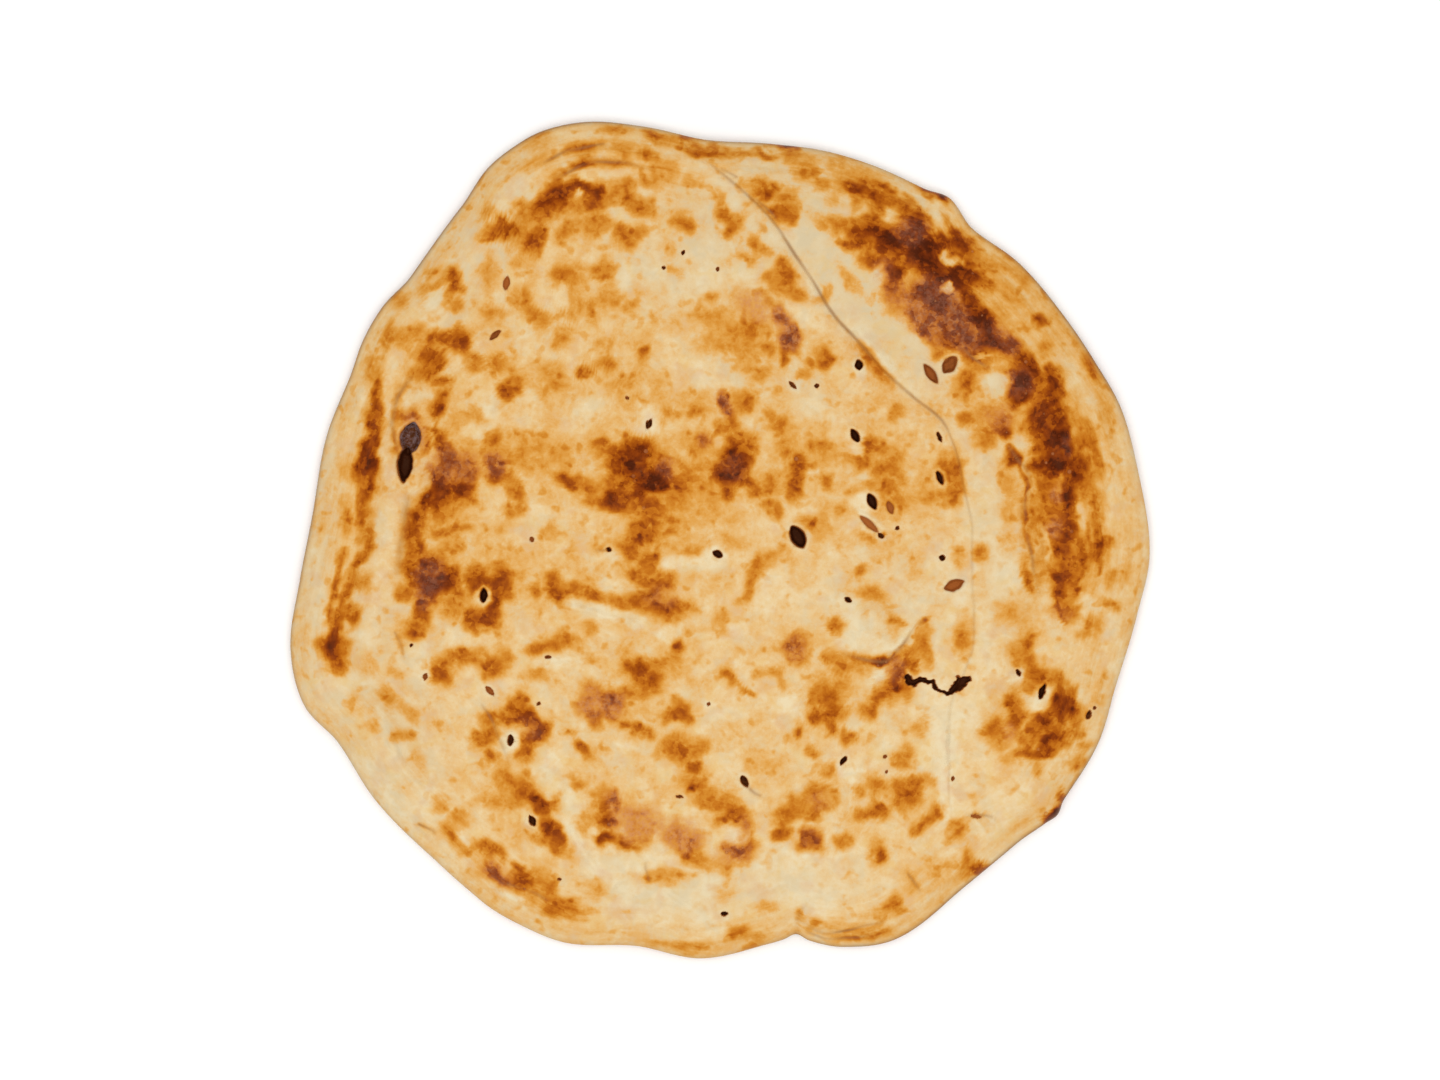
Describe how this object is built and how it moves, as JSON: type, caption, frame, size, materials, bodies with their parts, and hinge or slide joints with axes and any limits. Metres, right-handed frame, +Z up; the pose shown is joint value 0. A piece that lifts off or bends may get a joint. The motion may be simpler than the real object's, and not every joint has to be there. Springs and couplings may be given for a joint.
{
  "type": "tamees flatbread",
  "caption": "Round leavened flatbread from a clay oven, puffed along its rim, folded and blistered on top, flat underneath.",
  "frame": {"origin": "at table height, under the middle of the loaf's outline", "axes": "+Z up through the browned face; +X across the loaf's longest width, to the picture's right; +Y to the picture's top"},
  "size_m": [0.3008, 0.2928, 0.0184],
  "materials": {
    "baked_crust": "baked dough crust, pale cream to golden with brown and dark brown scorched patches, satin where browned"
  },
  "bodies": {
    "root": {"tamees_loaf": "baked_crust"}
  },
  "joints": []
}
